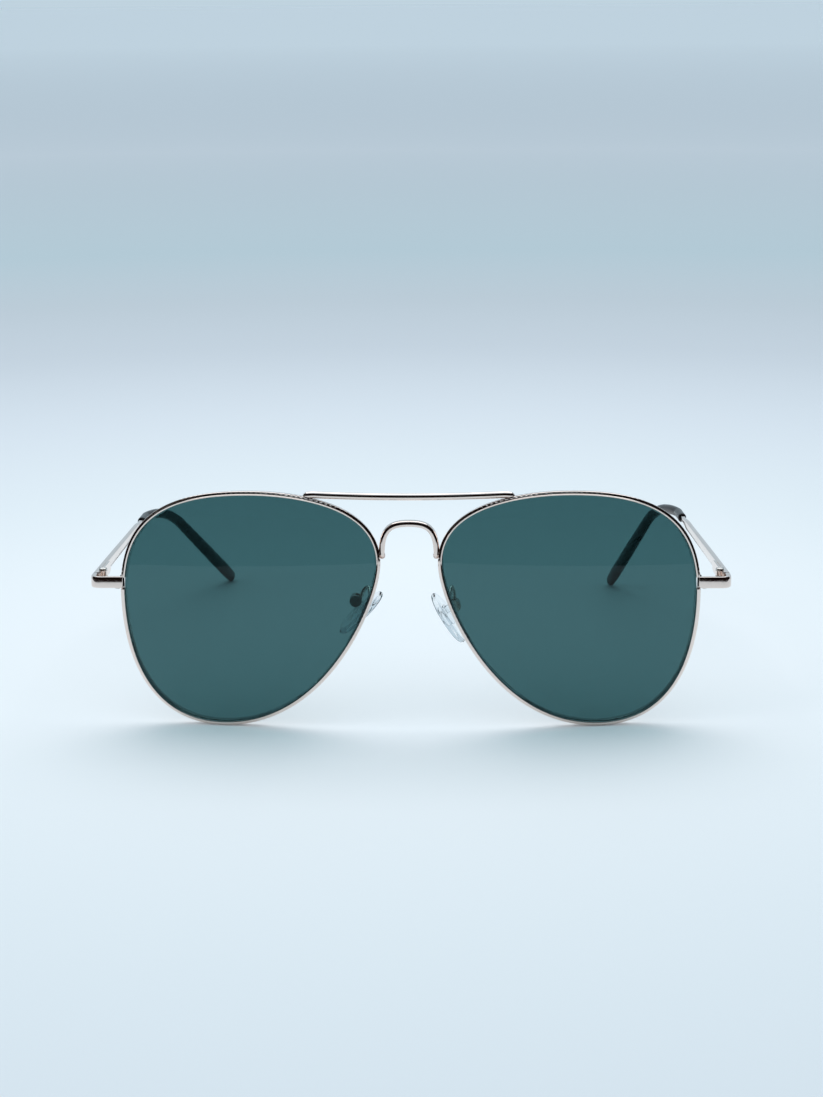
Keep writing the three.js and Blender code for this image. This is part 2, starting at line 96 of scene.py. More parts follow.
# A worn pair is never quite even: each side has its own pad angle, toe-in and bend. A pad's x and z are
# its screw's, down is how far its middle is below that, and wire_end is (outwards, up) from the screw.
SIDES = {
    "left": {
        "mirror": -1,
        "pad": {"x": 12.4, "z": 28.4, "lean": math.radians(47), "down": 1.2, "wire_end": (-1.25, 0.95)},
        "toe_in": math.radians(1.1),
        "drop": math.radians(1.5),
        "tip_in": 13.0,
        "tip_back": 131.5,
    },
    "right": {
        "mirror": 1,
        "pad": {"x": 10.1, "z": 27.2, "lean": math.radians(33), "down": 1.8, "wire_end": (-0.1, 1.55)},
        "toe_in": math.radians(3.9),
        "drop": math.radians(0.7),
        "tip_in": 8.9,
        "tip_back": 126.0,
    },
}

# Each screw's head radius and height, and its shank radius and length.
LOCK_SCREW = (0.75, 0.45, 0.36, 1.6)
HINGE_SCREW = (0.95, 0.5, 0.56, 3.5)
PAD_SCREW = (0.62, 0.35, 0.32, 2.5)

LENS_X = (NOSE_GAP + OPENING_WIDTH) / 2
LENS_Z = OPENING_HEIGHT / 2 + RIM_WALL
FRONT_DROP = 0.2  # lowers the leaning front on to the table
SEAT_GAP = 0.06  # under each screw head
FOOTPRINT_MIDDLE_Y = 68.6  # from the front surface back to the shared frame's origin

# ---------------------------------------------------------------- frames of reference


def side_frame(side):
    """The CAD part's own upright frame, mirrored for the left side."""
    mirror = Matrix.Diagonal((SIDES[side]["mirror"], 1, 1, 1))
    return Matrix.Translation((0, -FOOTPRINT_MIDDLE_Y, 0)) @ mirror


def front_frame(side):
    """The leaning front's frame."""
    return side_frame(side) @ Matrix.Translation((0, 0, -FRONT_DROP)) @ Matrix.Rotation(FRONT_LEAN, 4, "X")


def pad_frame(side):
    """Its origin is on the pad screw, and Z runs up along the pad."""
    pad = SIDES[side]["pad"]
    place = Matrix.Translation((pad["x"], PAD_Y, pad["z"]))
    return front_frame(side) @ place @ Matrix.Rotation(-pad["lean"], 4, "Y")


def hinge_frame(side):
    """Its origin is on the hinge axis, and Z runs up along it."""
    turned = Matrix.Rotation(-SIDES[side]["drop"], 4, "X")
    return side_frame(side) @ Matrix.Translation(HINGE) @ turned


def temple_frame(side):
    """The hinge frame, turned with the temple."""
    return hinge_frame(side) @ Matrix.Rotation(SIDES[side]["toe_in"], 4, "Z")


# ---------------------------------------------------------------- mesh helpers

BODY_OF = {node: body for body, nodes in frame["record"]["behaviour"]["bodies"].items() for node in nodes}


def loft(rings, capped=True):
    """Vertices and faces of a skin through rings of the same number of points."""
    count = len(rings[0])
    vertices = [point for ring in rings for point in ring]
    faces = []
    for r in range(len(rings) - 1):
        for i in range(count):
            j = (i + 1) % count
            faces.append((r * count + i, r * count + j, (r + 1) * count + j, (r + 1) * count + i))
    if capped:
        faces.append(tuple(range(count)))
        last = (len(rings) - 1) * count
        faces.append(tuple(range(last, last + count)))
    return vertices, faces


def sheet_through(rows):
    """Vertices and faces of an open sheet through rows of the same number of points."""
    count = len(rows[0])
    vertices = [point for row in rows for point in row]
    faces = [
        (r * count + i, r * count + i + 1, (r + 1) * count + i + 1, (r + 1) * count + i)
        for r in range(len(rows) - 1)
        for i in range(count - 1)
    ]
    return vertices, faces


def joined(*shapes):
    """Several shapes as one list of vertices and one of faces."""
    vertices, faces = [], []
    for some_vertices, some_faces in shapes:
        start = len(vertices)
        vertices.extend(some_vertices)
        faces.extend(tuple(index + start for index in face) for face in some_faces)
    return vertices, faces


def mesh_object(name, shape, matrix, look):
    """A mesh object from a shape in mm, placed by matrix."""
    vertices, faces = shape
    mesh = bpy.data.meshes.new(name)
    mesh.from_pydata([(matrix @ Vector(vertex)) * MM for vertex in vertices], [], faces)
    mesh.materials.append(look)
    made = bpy.data.objects.new(name, mesh)
    bpy.context.scene.collection.objects.link(made)
    return made


def piece(name, shape, matrix, material, node, bevel=0.0, sharp=35.0):
    """A smooth object that rides on a CAD node's body. Edges turning more than sharp degrees stay sharp."""
    made = mesh_object(name, shape, matrix, material["look"])
    mesh = made.data
    working = bmesh.new()
    working.from_mesh(mesh)
    bmesh.ops.remove_doubles(working, verts=working.verts, dist=1e-7)
    bmesh.ops.recalc_face_normals(working, faces=working.faces)
    working.to_mesh(mesh)
    working.free()
    mesh.shade_smooth()
    mesh.set_sharp_from_angle(angle=math.radians(sharp))
    if bevel:
        rounding = made.modifiers.new("rounded edges", "BEVEL")
        rounding.width = bevel * MM
        rounding.segments = 3
        rounding.limit_method = "ANGLE"
        rounding.angle_limit = math.radians(sharp)
    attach(made, BODY_OF[node])
    return made


def standing_for(name, shape, matrix, material, *nodes, **details):
    """A piece that replaces CAD nodes."""
    made = piece(name, shape, matrix, material, nodes[0], **details)
    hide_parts(*nodes)
    return made


def carved(made, *cutters):
    """Cuts the cutters' shapes out of a piece, and removes the cutters."""
    for cutter in cutters:
        cut = made.modifiers.new("cut", "BOOLEAN")
        cut.operation = "DIFFERENCE"
        cut.solver = "EXACT"
        cut.object = cutter
    bpy.context.view_layer.update()
    final = bpy.data.meshes.new_from_object(made.evaluated_get(bpy.context.evaluated_depsgraph_get()))
    made.modifiers.clear()
    made.data = final
    for cutter in cutters:
        bpy.data.objects.remove(cutter)
    return made


# ---------------------------------------------------------------- curves


def bezier(points, steps):
    """Points of a Bezier curve of degree 2 or 3, ends included."""
    points = np.array(points, float)
    degree = len(points) - 1
    t = np.linspace(0, 1, steps + 1)[:, None]
    return sum(
        math.comb(degree, k) * (1 - t) ** (degree - k) * t**k * points[k] for k in range(degree + 1)
    )


def chain(*stretches):
    """Stretches that meet end to end, as one list of points."""
    return np.concatenate([stretches[0]] + [stretch[1:] for stretch in stretches[1:]])


def straight(start, end, steps=40):
    """Points of a straight line, ends included."""
    return bezier([start, end], steps)


class Path:
    """A smooth line through close points, read by distance along it."""

    def __init__(self, points):
        self.points = np.array(points, float)
        steps = np.linalg.norm(np.diff(self.points, axis=0), axis=1)
        self.distance = np.concatenate([[0], np.cumsum(steps)])
        self.length = self.distance[-1]

    def at(self, distance):
        """The point at a distance from the start."""
        return np.array([np.interp(distance, self.distance, axis) for axis in self.points.T])

    def along(self, distance, reach=0.05):
        """The direction of travel there."""
        low, high = max(0, distance - reach), min(self.length, distance + reach)
        step = self.at(high) - self.at(low)
        return step / np.linalg.norm(step)


def oval(count, square=1.0):
    """A unit section: round at square 1, closer to a rounded rectangle as square falls."""
    ring = []
    for i in range(count):
        turn = 2 * math.pi * i / count
        a, b = math.cos(turn), math.sin(turn)
        ring.append((math.copysign(abs(a) ** square, a), math.copysign(abs(b) ** square, b)))
    return ring


def bar(path, section, half, up, stops):
    """A solid bar along a path. half(distance) gives half the width and height at each stop."""
    rings = []
    for distance in stops:
        along = path.along(distance)
        side = np.cross(along, up)
        side /= np.linalg.norm(side)
        over = np.cross(side, along)
        width, height = half(distance)
        centre = path.at(distance)
        rings.append([tuple(centre + side * width * a + over * height * b) for a, b in section])
    return loft(rings)


def smoothstep(value, low, high):
    """0 below low, 1 above high, and an easy curve between."""
    t = min(1.0, max(0.0, (value - low) / (high - low)))
    return t * t * (3 - 2 * t)


def rounded_stops(length, count, cap):
    """Distances along a bar, closer together over the rounded caps at its ends."""
    near = [cap * (1 - math.cos(math.pi / 2 * i / 6)) for i in range(7)]
    middle = list(np.linspace(cap, length - cap, count))
    return near[:-1] + middle + [length - distance for distance in reversed(near[:-1])]


def cap_share(distance, length, cap, least=0.02):
    """How full a bar is near a rounded end: 1 along it, falling as a quarter circle over the cap."""
    past = max(0.0, 1 - min(distance, length - distance) / cap)
    return max(least, math.sqrt(max(0.0, 1 - past * past)))


# ---------------------------------------------------------------- lens outline and front surface


def opening_outline(steps=200):
    """The clear opening, anticlockwise from the temple side, as (outwards, up) from the lens centre."""
    temple = np.array([OPENING_WIDTH / 2, TEMPLE_POINT_HEIGHT])
    brow = np.array([-1.1, OPENING_HEIGHT / 2])
    nose = np.array([-OPENING_WIDTH / 2, 11.5])
    cheek = np.array([7.4, -OPENING_HEIGHT / 2])
    return chain(
        bezier([temple, temple + (0, 17.9), brow + (18.2, 0), brow], steps),
        bezier([brow, brow - (9.1, 0), nose + (0, 13.1), nose], steps),
        bezier([nose, nose - (0, 8.2), cheek - (24, 0), cheek], steps),
        bezier([cheek, cheek + (15.2, 0), temple - (0, 16.6), temple], steps),
    )


OPENING = Path(opening_outline())


def outline_at(distance):
    """A point of the opening and the direction outwards across it."""
    distance %= OPENING.length
    ahead = OPENING.at((distance + 0.05) % OPENING.length)
    behind = OPENING.at((distance - 0.05) % OPENING.length)
    along = (ahead - behind) / np.linalg.norm(ahead - behind)
    return OPENING.at(distance), np.array([along[1], -along[0]])


def on_front(u, v, depth):
    """The point at (outwards, up) from a lens centre and a depth behind the front surface."""
    slope_out = u / LENS_CURVE_RADIUS + math.tan(WRAP)
    slope_up = v / LENS_CURVE_RADIUS
    normal = np.array([-slope_out, 1, -slope_up])
    normal /= np.linalg.norm(normal)
    surface = (u * u + v * v) / (2 * LENS_CURVE_RADIUS) + u * math.tan(WRAP)
    return tuple(np.array([LENS_X + u, surface, LENS_Z + v]) + normal * depth)


# ---------------------------------------------------------------- materials


def new_material(name, constants):
    """A material, its nodes and links, and its Principled shader with its constant inputs set."""
    look = bpy.data.materials.new(name)
    look.use_nodes = True
    nodes = look.node_tree.nodes
    shader = nodes["Principled BSDF"]
    for socket, value in constants.items():
        shader.inputs[socket].default_value = value
    return look, nodes, look.node_tree.links, shader


def noise(nodes, links, coordinates, scale, detail=3.0, rough=0.5):
    """A noise value. scale is in lumps per metre."""
    texture = nodes.new("ShaderNodeTexNoise")
    texture.inputs["Scale"].default_value = scale
    texture.inputs["Detail"].default_value = detail
    texture.inputs["Roughness"].default_value = rough
    links.new(coordinates, texture.inputs["Vector"])
    return texture.outputs["Fac"]


def ramp(nodes, links, value, stops):
    """A colour ramp fed by value. stops are (position, colour)."""
    made = nodes.new("ShaderNodeValToRGB")
    while len(made.color_ramp.elements) < len(stops):
        made.color_ramp.elements.new(0.5)
    for element, (position, colour) in zip(made.color_ramp.elements, stops):
        element.position = position
        element.color = (*colour, 1)
    links.new(value, made.inputs["Fac"])
    return made.outputs["Color"]


def spread(nodes, links, value, low, high):
    """Maps a noise value's middle range to low..high."""
    made = nodes.new("ShaderNodeMapRange")
    made.inputs["From Min"].default_value = 0.3
    made.inputs["From Max"].default_value = 0.7
    made.inputs["To Min"].default_value = low
    made.inputs["To Max"].default_value = high
    links.new(value, made.inputs["Value"])
    return made.outputs["Result"]


def share_of(nodes, links, value, whole):
    """A value as a share of a whole, from 0 to 1."""
    made = nodes.new("ShaderNodeMapRange")
    made.inputs["From Max"].default_value = whole
    links.new(value, made.inputs["Value"])
    return made.outputs["Result"]


def bump(nodes, links, shader, height, strength, distance):
    """Dents the shaded surface by height. distance is in metres."""
    made = nodes.new("ShaderNodeBump")
    made.inputs["Strength"].default_value = strength
    made.inputs["Distance"].default_value = distance
    links.new(height, made.inputs["Height"])
    links.new(made.outputs["Normal"], shader.inputs["Normal"])


def object_coordinates(nodes, links, stretch=(1, 1, 1)):
    """Positions on the object, stretched along each axis."""
    source = nodes.new("ShaderNodeTexCoord").outputs["Object"]
    mapping = nodes.new("ShaderNodeMapping")
    mapping.inputs["Scale"].default_value = stretch
    links.new(source, mapping.inputs["Vector"])
    return mapping.outputs["Vector"]


def plated_metal(name, pale, deep, roughness, grain):
    """Polished plating: colour drifts between two tones, and fine polishing lines break the gloss."""
    look, nodes, links, shader = new_material(name, {"Metallic": 1.0})
    where = object_coordinates(nodes, links)
    drift = noise(nodes, links, where, 90, detail=4)
    links.new(ramp(nodes, links, drift, [(0.38, pale), (0.66, deep)]), shader.inputs["Base Color"])
    fine = noise(nodes, links, where, 900, detail=5, rough=0.6)
    links.new(spread(nodes, links, fine, *roughness), shader.inputs["Roughness"])
    lines = noise(nodes, links, object_coordinates(nodes, links, (3000, 400, 3000)), 1.0, detail=2)
    bump(nodes, links, shader, lines, grain, 0.00002)
    return look


def tinted_glass():
    """Lens tint: blue-green grey right through, a little deeper towards the brow, with faint smears."""
    look, nodes, links, shader = new_material("lens tint", {"Transmission Weight": 1.0, "IOR": 1.27})
    where = nodes.new("ShaderNodeTexCoord").outputs["Object"]
    height = nodes.new("ShaderNodeSeparateXYZ")
    links.new(where, height.inputs["Vector"])
    share = share_of(nodes, links, height.outputs["Z"], 0.055)
    stops = [(0.0, (0.050, 0.130, 0.137)), (0.5, (0.052, 0.131, 0.138)), (1.0, (0.051, 0.127, 0.134))]
    links.new(ramp(nodes, links, share, stops), shader.inputs["Base Color"])
    smears = noise(nodes, links, object_coordinates(nodes, links, (1, 1, 0.4)), 120, detail=6, rough=0.65)
    links.new(spread(nodes, links, smears, 0.0, 0.008), shader.inputs["Roughness"])
    let_lamps_through(nodes, links, shader, (0.30, 0.45, 0.46))
    return look


def let_lamps_through(nodes, links, shader, colour):
    """Rays from lamps pass straight through, tinted, so that glass casts a light coloured shadow."""
    output = nodes["Material Output"]
    clear = nodes.new("ShaderNodeBsdfTransparent")
    clear.inputs["Color"].default_value = (*colour, 1)
    rays = nodes.new("ShaderNodeLightPath")
    mix = nodes.new("ShaderNodeMixShader")
    links.new(rays.outputs["Is Shadow Ray"], mix.inputs["Fac"])
    links.new(shader.outputs["BSDF"], mix.inputs[1])
    links.new(clear.outputs["BSDF"], mix.inputs[2])
    links.new(mix.outputs["Shader"], output.inputs["Surface"])


def silicone():
    """Clear silicone: milky where it is thick, with a soft moulded gloss."""
    constants = {"Transmission Weight": 1.0, "IOR": 1.27}
    look, nodes, links, shader = new_material("clear silicone", constants)
    where = object_coordinates(nodes, links)
    haze = noise(nodes, links, where, 260, detail=3)
    tone = ramp(nodes, links, haze, [(0.35, (0.98, 0.99, 0.995)), (0.7, (0.93, 0.96, 0.975))])
    links.new(tone, shader.inputs["Base Color"])
    gloss = spread(nodes, links, noise(nodes, links, where, 700), 0.01, 0.04)
    links.new(gloss, shader.inputs["Roughness"])
    bump(nodes, links, shader, noise(nodes, links, where, 450, detail=2), 0.12, 0.00004)
    let_lamps_through(nodes, links, shader, (0.85, 0.88, 0.9))
    return look


def clear_core():
    """The stiff clear plastic inside a pad, just seen through the silicone."""
    look, nodes, links, shader = new_material("clear core", {"Transmission Weight": 1.0, "IOR": 1.42})
    where = object_coordinates(nodes, links)
    haze = noise(nodes, links, where, 300)
    tone = ramp(nodes, links, haze, [(0.35, (0.97, 0.98, 0.99)), (0.7, (0.88, 0.92, 0.94))])
    links.new(tone, shader.inputs["Base Color"])
    links.new(spread(nodes, links, noise(nodes, links, where, 800), 0.03, 0.10), shader.inputs["Roughness"])
    let_lamps_through(nodes, links, shader, (0.9, 0.92, 0.94))
    return look


def dark_acetate():
    """Very dark tumbled acetate with faint brown swirls under a clear gloss."""
    constants = {"Specular IOR Level": 0.25, "Coat Weight": 0.1, "Coat Roughness": 0.1}
    look, nodes, links, shader = new_material("tip acetate", constants)
    where = object_coordinates(nodes, links, (1, 0.35, 1))
    swirl = noise(nodes, links, where, 240, detail=4)
    stops = [(0.42, (0.003, 0.0035, 0.005)), (0.62, (0.014, 0.007, 0.006)), (0.8, (0.036, 0.014, 0.011))]
    links.new(ramp(nodes, links, swirl, stops), shader.inputs["Base Color"])
    links.new(spread(nodes, links, noise(nodes, links, where, 900), 0.14, 0.28), shader.inputs["Roughness"])
    bump(nodes, links, shader, noise(nodes, links, where, 600, detail=2), 0.08, 0.00003)
    return look


def painted_recess_shade():
    """Painted shade: an almost black sheet that stands for the shadow deep in the recess in front of a rim
    lock.
    """
    look, nodes, links, shader = new_material("painted recess shade", {"Specular IOR Level": 0.1})
    where = object_coordinates(nodes, links)
    # patchy near-black tone of the painted shade in the lock recess
    shade_patches = noise(nodes, links, where, 1200)
    tone = ramp(nodes, links, shade_patches, [(0.4, (0.004, 0.004, 0.005)), (0.7, (0.02, 0.014, 0.011))])
    links.new(tone, shader.inputs["Base Color"])
    links.new(spread(nodes, links, noise(nodes, links, where, 2000), 0.7, 0.95), shader.inputs["Roughness"])
    return look


def material(look, slot):
    """A look, and the slot of the part's record that it stands for."""
    return {"look": look, "slot": slot}


ROSE_GOLD = material(
    plated_metal("rose gold", (0.86, 0.745, 0.685), (0.82, 0.69, 0.625), (0.05, 0.12), 0.12), "rose_gold"
)
SOLDER = material(
    plated_metal("solder", (0.84, 0.76, 0.72), (0.62, 0.44, 0.38), (0.12, 0.3), 0.35), "rose_gold"
)
STEEL = material(
    plated_metal("screw metal", (0.72, 0.68, 0.64), (0.60, 0.56, 0.53), (0.16, 0.30), 0.3), "screw_metal"
)
LENS = material(tinted_glass(), "lens_tint")
SILICONE = material(silicone(), "clear_silicone")
CLEAR_CORE = material(clear_core(), "clear_silicone")
ACETATE = material(dark_acetate(), "tip_acetate")
# painted shade: near black, standing for the shadowed recess in front of each rim lock
RECESS_SHADE = material(painted_recess_shade(), "rose_gold")

# ---------------------------------------------------------------- rims and lenses

BEAD_PITCH = 1.1  # of the milled beads along a rim
BEAD_STEPS = 8  # rings of points in each bead
BEAD_RADIUS = 0.25
BEAD_DEPTH = 0.14  # of the valleys between beads, where the milling is full
LIP_DEPTH = 0.02  # of the same valleys across the lip
WORN_MILLING = 0.15  # share of that depth left where the milling is worn
MILLING_GROWS = (49, 52)  # distances along the rim from its temple point
MILLING_FADES = (59, 64)


def rim_section(stand):
    """(outwards, depth) round the wire: a lip that falls away to the lens and a sloping face in front, a
    rounded shoulder of milled beads outside, and the lens groove inside. stand runs from 0 between two
    beads to 1 on a bead."""
    groove = LENS_THICKNESS / 2
    front, back = groove - RIM_FRONT, groove + RIM_BACK
    lip = LIP_DEPTH * (1 - stand)
    bead_out, bead_depth = RIM_WALL - BEAD_RADIUS, front + 2 * BEAD_RADIUS
    reach = BEAD_RADIUS - BEAD_DEPTH * (1 - stand)
    shoulder = [
        (bead_out + reach * math.sin(turn), bead_depth - reach * math.cos(turn))
        for turn in np.radians((0, 18, 36, 54, 72, 90))
    ]
    return [
        (0.0, groove - 0.5),
        (0.0, front + 0.16),
        (0.03, front + 0.09 + lip),
        (0.1, front + 0.045 + lip),
        (0.28, front + lip),
        (0.32, front + 0.03 + lip),
        (0.345, front + 0.1),
        (0.4, front + 0.11),
        (0.5, front + 0.145),
        (0.61, front + 0.19),
        *shoulder,
        (RIM_WALL, bead_depth + 0.12),
        (RIM_WALL, back - 0.25),
        (RIM_WALL - 0.05, back - 0.12),
        (RIM_WALL - 0.16, back - 0.03),
        (RIM_WALL - 0.28, back),
        (0.14, back),
        (0.05, back - 0.04),
        (0.0, back - 0.14),
        (0.0, groove + 0.5),
        (0.34, groove + 0.06),
        (0.36, groove),
        (0.34, groove - 0.06),
    ]


def milling(distance):
    """The share of its full depth that the milling has along a rim: full beside the brow bar's end."""
    full = smoothstep(distance, *MILLING_GROWS) * (1 - smoothstep(distance, *MILLING_FADES))
    return WORN_MILLING + (1 - WORN_MILLING) * full


def rim_shape():
    """The wire from one side of its cut, over the brow and under the cheek, to the other."""
    start = SPLIT_HEIGHT - TEMPLE_POINT_HEIGHT + SPLIT_GAP / 2
    end = start + OPENING.length - SPLIT_GAP
    beads = round((end - start) / BEAD_PITCH)
    steps = beads * BEAD_STEPS
    rings = []
    for i in range(steps + 1):
        distance = start + (end - start) * i / steps
        point, outwards = outline_at(distance)
        valley = 1 - abs(math.sin(math.pi * i / BEAD_STEPS)) ** 0.7
        section = rim_section(1 - valley * milling(distance))
        rings.append([on_front(*(point + outwards * out), depth) for out, depth in section])
    return loft(rings)


def lens_shape(around=240):
    """A curved lens with a bevelled edge that stands in the rim's groove."""
    edges = [outline_at(OPENING.length * i / around)[0] for i in range(around)]
    edge_share, bevel_share = 0.996, 1.006  # of the opening: the lens's edge, and the bevel in the groove
    chamfer, bevel_half, bevel_flat = 0.07, 0.42, 0.03
    middle = LENS_THICKNESS / 2
    reach = list(np.linspace(0.05, 0.95, 19)) + [0.98, 0.989, 0.9935]
    profile = [(r, 0.0) for r in reach] + [(edge_share, chamfer)]
    profile += [(edge_share, middle - bevel_half), (bevel_share, middle - bevel_flat)]
    profile += [(bevel_share, middle + bevel_flat), (edge_share, middle + bevel_half)]
    profile += [(edge_share, LENS_THICKNESS - chamfer)] + [(r, LENS_THICKNESS) for r in reversed(reach)]
    rings = [[on_front(*(edge * r), depth) for edge in edges] for r, depth in profile]
    vertices, faces = loft(rings, capped=False)
    count = len(vertices)
    vertices += [on_front(0, 0, 0), on_front(0, 0, LENS_THICKNESS)]
    last = (len(profile) - 1) * around
    for i in range(around):
        j = (i + 1) % around
        faces.append((count, i, j))
        faces.append((count + 1, last + i, last + j))
    return vertices, faces


# ---------------------------------------------------------------- bridge and brow bar


def mirrored_path(half_points):
    """A path from its left end over the middle, from the points of its right half."""
    left = [(-x, y, z) for x, y, z in reversed(half_points)]
    return Path(chain(left, half_points))


def bridge_section():
    """(up, back) round the arch, in shares of its half sizes: the front's upper edge slopes away."""
    front = [(0.88, -0.66), (0.72, -0.8), (0.2, -0.97), (0.0, -1.0), (-0.6, -1.0), (-0.85, -0.9)]
    lower = [(-0.97, -0.7), (-1.0, -0.4), (-1.0, 0.4), (-0.97, 0.7), (-0.85, 0.9), (-0.6, 1.0)]
    upper = [(0.6, 1.0), (0.85, 0.9), (0.97, 0.7), (1.0, 0.4), (1.0, -0.3), (0.97, -0.5)]
    return front + lower + upper


def bridge_shape():
    """The arch over the nose, from foot to foot."""
    half, shoulder, rise = 6.15, 4.6, 6.2
    foot, crown, depth = 40.4, 48.1, 2.95
    half_height, half_depth = 0.66, 0.95
    points = [(0, depth, crown), (shoulder, depth, crown), (half, depth, foot + rise), (half, depth, foot)]
    path = mirrored_path([tuple(point) for point in bezier(points, 60)])
    cap = 0.35

    def size(distance):
        share = cap_share(distance, path.length, cap, 0.35)
        return half_height * share, half_depth * share

    return bar(path, bridge_section(), size, (0, 1, 0), rounded_stops(path.length, 90, cap))


def top_bar_shape():
    """A round bar that sags a little in the middle, and whose ends bend down on to the rims."""
    reach, straight_reach = 23.5, 21.2
    depth, radius = 2.9, 0.78
    middle, shoulder, end = 53.65, 54.7, 54.4
    left, right = (-straight_reach, depth, shoulder), (straight_reach, depth, shoulder)
    sag = bezier([left, (0, depth, middle), right], 120)
    bend = bezier([right, (straight_reach + 1.2, depth, shoulder), (reach, depth, end)], 30)
    path = mirrored_path([tuple(point) for point in chain(sag[60:], bend)])
    cap = 1.3

    def size(distance):
        return [radius * cap_share(distance, path.length, cap, 0.2)] * 2

    return bar(path, oval(28), size, (0, 0, 1), rounded_stops(path.length, 110, cap))


# ---------------------------------------------------------------- end pieces, hinges and screws


def end_piece_section():
    """(outwards, up) round the bar, in shares of its half sizes: a broad chamfer along the top of its
    outer face, and rounded edges elsewhere."""
    outer = [(0.5, 1.0), (0.68, 0.985), (0.78, 0.95), (0.85, 0.89), (0.98, 0.66), (1.0, 0.58), (1.0, -0.7)]
    lower = [(0.97, -0.82), (0.88, -0.93), (0.74, -0.99), (0.6, -1.0), (-0.6, -1.0), (-0.85, -0.97)]
    inner = [(-0.97, -0.9), (-1.0, -0.8), (-1.0, 0.8), (-0.97, 0.9), (-0.85, 0.97), (-0.6, 1.0)]
    return outer + lower + inner


def end_piece_shape():
    """Outwards from the rim lock, round the corner and back to the temple."""
    inner, corner, front, round_back = -5.1, -0.2, -CORNER_FRONT, 2.0
    path = Path(
        chain(
            straight((inner, front, 0), (corner, front, 0)),
            bezier([(corner, front, 0), (ARM_OUT, front, 0), (ARM_OUT, front + round_back, 0)], 60),
            straight((ARM_OUT, front + round_back, 0), (ARM_OUT, -BUTT_GAP, 0)),
        )
    )
    cap, taper = 0.12, 0.08

    def size(distance):
        share = 1 - taper * (1 - cap_share(distance, path.length, cap, 0))
        return ARM_THICKNESS / 2 * share, ARM_HEIGHT / 2 * share

    return bar(path, end_piece_section(), size, (0, 0, 1), rounded_stops(path.length, 60, cap))


def prism(outline, low, high):
    """A flat outline in (x, y), raised from low to high."""
    return loft([[(x, y, z) for x, y in outline] for z in (low, high)])


def box_shape(low, high):
    """A box from its lowest to its highest corner."""
    outline = [(low[0], low[1]), (high[0], low[1]), (high[0], high[1]), (low[0], high[1])]
    return prism(outline, low[2], high[2])


def circle(radius, count=48):
    """Points round the origin of a plane."""
    turns = [2 * math.pi * i / count for i in range(count)]
    return [(radius * math.cos(turn), radius * math.sin(turn)) for turn in turns]


def tube(radius, bore, low, high, count=48):
    """A ring about Z."""
    rings = [
        [(x, y, z) for x, y in circle(r, count)]
        for r, z in ((radius, low), (radius, high), (bore, high), (bore, low), (radius, low))
    ]
    return loft(rings, capped=False)


def knuckle(level, reach):
    """One hinge knuckle, bored for the screw, with the web that joins it to its leaf."""
    low = level * KNUCKLE_PITCH - KNUCKLE_HEIGHT / 2
    high = low + KNUCKLE_HEIGHT
    toward = math.copysign(1, reach)
    web = [
        (KNUCKLE_RADIUS, 0.12 * toward),
        (1.08, reach),
        (0.25, reach),
        (0.25, 0.98 * toward),
        (0.62, 0.8 * toward),
        (0.88, 0.5 * toward),
    ]
    return joined(tube(KNUCKLE_RADIUS, KNUCKLE_BORE, low, high), prism(web, low, high))


def front_hinge_shape():
    """The outer two knuckles and their short leaf on the end piece."""
    leaf = box_shape((0.45, -2.3, -1.5), (1.08, -1.25, 1.5))
    return joined(knuckle(-1, -2), knuckle(1, -2), leaf)


def temple_hinge_shape():
    """The middle knuckle and the long leaf, which ends in a lower step."""
    start, length, step, half_height = 1.3, 13.0, 1.3, 1.38
    upper = [
        (length, 0.7),
        (length - 0.35, 1.0),
        (length - step + 0.15, 1.15),
        (length - step, half_height),
        (start, half_height),
    ]
    profile = [(y, -z) for y, z in reversed(upper)] + upper
    leaf = loft([[(x, y, z) for y, z in profile] for x in (0.5, 1.08)])
    return joined(knuckle(0, 2), leaf)


def screw_shape(head_radius, head_height, shank_radius, shank_length):
    """A cheese-head screw along Z, its head's underside at Z = 0 and its shank below."""
    profile = [
        (0.02, -shank_length),
        (shank_radius * 0.7, -shank_length),
        (shank_radius, -shank_length + 0.25),
        (shank_radius, 0),
        (head_radius * 0.96, 0),
        (head_radius, head_height * 0.08),
        (head_radius, head_height * 0.62),
        (head_radius * 0.96, head_height * 0.8),
        (head_radius * 0.86, head_height * 0.94),
        (head_radius * 0.7, head_height),
        (0.02, head_height),
    ]
    return loft([[(x, y, z) for x, y in circle(r, 40)] for r, z in profile])


def slotted_screw(name, node, matrix, sizes):
    """A screw with a driver slot cut across its head."""
    head_radius, head_height = sizes[:2]
    made = standing_for(name, screw_shape(*sizes), matrix, STEEL, node, sharp=30)
    slot_half, floor = head_radius * 0.16, head_height * 0.5
    slot = box_shape((-2 * head_radius, -slot_half, floor), (2 * head_radius, slot_half, 2 * head_height))
    cutter = piece("slot cutter", slot, matrix, STEEL, node)
    carved(made, cutter)
    return made


LOCK_X, LOCK_Y = 66.45, 8.1  # the axis of the screw that closes a rim
LOCK_Z = 32.75  # where the two halves of the block meet
LOCK_HEIGHT = 0.75  # of each half
LOCK_PARTING = 0.08  # each side of the line where they meet
LOCK_FRONT = 7.0
LUG_IN, LUG_OUT, LUG_BACK = 65.5, 67.4, 9.0
TONGUE_IN, TONGUE_BACK = 64.8, 8.2


def rim_lock_shape(low, tongue_low, tongue_high):
    """Half of the block that closes a rim: a lug behind the end piece, and a tongue in the wire's cut."""
    lug = box_shape((LUG_IN, LOCK_FRONT, low), (LUG_OUT, LUG_BACK, low + LOCK_HEIGHT))
    tongue = box_shape((TONGUE_IN, LOCK_FRONT, tongue_low), (LUG_IN + 0.02, TONGUE_BACK, tongue_high))
    return joined(lug, tongue)


# ---------------------------------------------------------------- temples and tips


